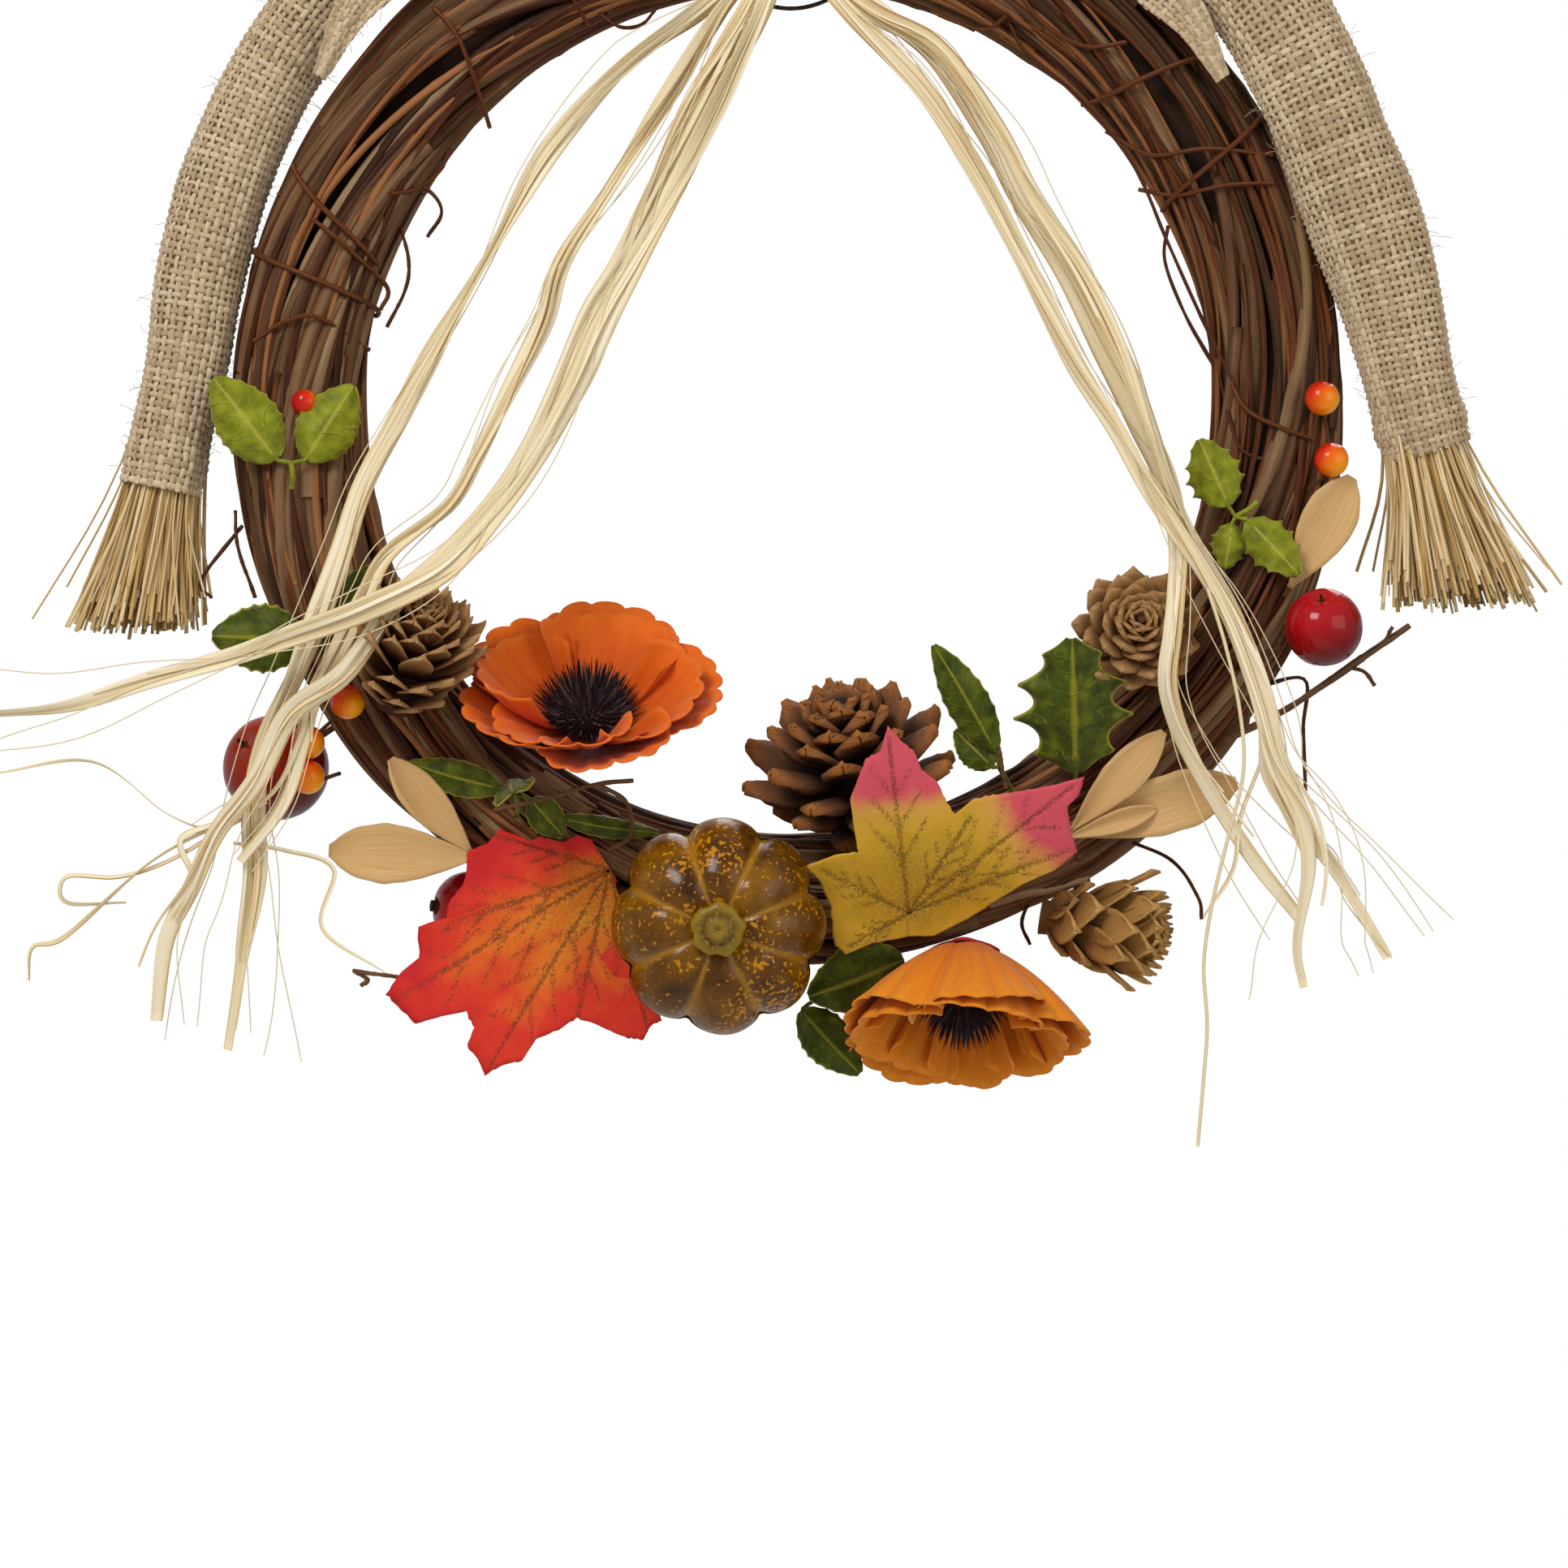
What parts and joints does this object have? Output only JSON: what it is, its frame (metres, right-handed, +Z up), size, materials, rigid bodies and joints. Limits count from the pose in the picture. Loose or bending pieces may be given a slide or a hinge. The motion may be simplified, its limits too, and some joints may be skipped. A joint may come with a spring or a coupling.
{
  "type": "harvest door wreath",
  "caption": "Round vine wreath with burlap sleeves and straw hands, a bow, hanging raffia, a pumpkin, flowers, leaves, cones and berries.",
  "frame": {"origin": "where the door's hook carries the wire loop behind the top of the ring", "axes": "+Z up, +X to the right as seen from the front, +Y towards the door; the front faces -Y"},
  "size_m": [0.4212, 0.0799, 0.3874],
  "materials": {
    "bark": "dry grape-vine bark, ridged and matt",
    "tendril_bark": "thin reddish vine bark",
    "hanger_wire": "dark coated soft steel wire",
    "burlap": "open plain-weave jute burlap",
    "straw": "dry cut straw",
    "raffia": "dry flat raffia palm strips",
    "pumpkin_skin": "varnished foam pumpkin, olive brown with orange specks",
    "pumpkin_stem": "varnished, olive",
    "flower_centre": "dark bristles",
    "petal_orange": "shaved wood-fibre petal, orange",
    "petal_amber": "shaved wood-fibre petal, amber orange",
    "maple_red": "printed fabric leaf, red to orange with dark veins",
    "maple_yellow": "printed fabric leaf, yellow with pink tips and dark veins",
    "leaf_green": "preserved leaf, olive green",
    "leaf_dark": "preserved leaf, dark green with yellow veins",
    "cone_scales": "dry pine-cone scales",
    "berry_red": "glossy dark red",
    "berry_orange": "glossy, orange shading to red",
    "wood_shaving": "pale smooth wood shaving",
    "twig_bark": "grey-brown bark"
  },
  "bodies": {
    "wreath": {"big_berry_left": "berry_red", "big_berry_lower": "berry_red", "big_berry_right": "berry_red", "burlap_bow_knot": "burlap", "burlap_bow_loop_left": "burlap", "burlap_bow_loop_right": "burlap", "burlap_bow_tail_left": "burlap", "burlap_bow_tail_right": "burlap", "hanger_tie": "hanger_wire", "leaf_sprig_bottom": "leaf_dark", "leaf_sprig_centre": "leaf_dark", "leaf_sprig_holly": "leaf_dark", "leaf_sprig_left": "leaf_dark", "leaf_sprig_lower_left": "leaf_dark", "leaf_sprig_right": "leaf_green", "leaf_sprig_upper_left": "leaf_green", "lower_flower_centre": "flower_centre", "lower_flower_inner_petals": "petal_amber", "lower_flower_outer_petals": "petal_amber", "maple_leaf_red": "maple_red", "maple_leaf_yellow": "maple_yellow", "pine_cone_big": "cone_scales", "pine_cone_left": "cone_scales", "pine_cone_lower": "cone_scales", "pine_cone_right": "cone_scales", "pumpkin_body": "pumpkin_skin", "pumpkin_stem": "pumpkin_stem", "raffia_knot": "raffia", "raffia_strand_1": "raffia", "raffia_strand_2": "raffia", "raffia_strand_3": "raffia", "raffia_strand_4": "raffia", "raffia_strand_5": "raffia", "raffia_strand_6": "raffia", "raffia_strand_7": "raffia", "raffia_thread": "raffia", "small_berries_left": "berry_orange", "small_berries_right": "berry_orange", "twig_lower": "twig_bark", "twig_right": "twig_bark", "upper_flower_centre": "flower_centre", "upper_flower_inner_petals": "petal_orange", "upper_flower_outer_petals": "petal_orange", "vine_cane_1": "bark", "vine_cane_2": "bark", "vine_cane_3": "bark", "vine_cane_4": "bark", "vine_cane_5": "bark", "vine_cane_6": "bark", "vine_core": "bark", "vine_tendril_left": "tendril_bark", "vine_tendril_right": "tendril_bark", "wood_curl_left": "wood_shaving", "wood_curl_right": "wood_shaving", "wood_curl_side": "wood_shaving"},
    "hanger": {"hanging_loop": "hanger_wire"},
    "arm_left": {"arm_sleeve_left": "burlap", "arm_straw_left": "straw"},
    "arm_right": {"arm_sleeve_right": "burlap", "arm_straw_right": "straw"}
  },
  "joints": [
    {"name": "hanging_loop_fold", "type": "hinge", "parent": "wreath", "child": "hanger", "pos_m": [0, 0, -0.0372], "axis": [-1, 0, 0], "range_deg": [0, 90]},
    {"name": "arm_left_swing", "type": "hinge", "parent": "wreath", "child": "arm_left", "pos_m": [-0.015, -0.0184, -0.0002], "axis": [0, 1, 0], "range_deg": [0, 25]},
    {"name": "arm_right_swing", "type": "hinge", "parent": "wreath", "child": "arm_right", "pos_m": [0.015, -0.0184, -0.0002], "axis": [0, -1, 0], "range_deg": [0, 25]}
  ]
}
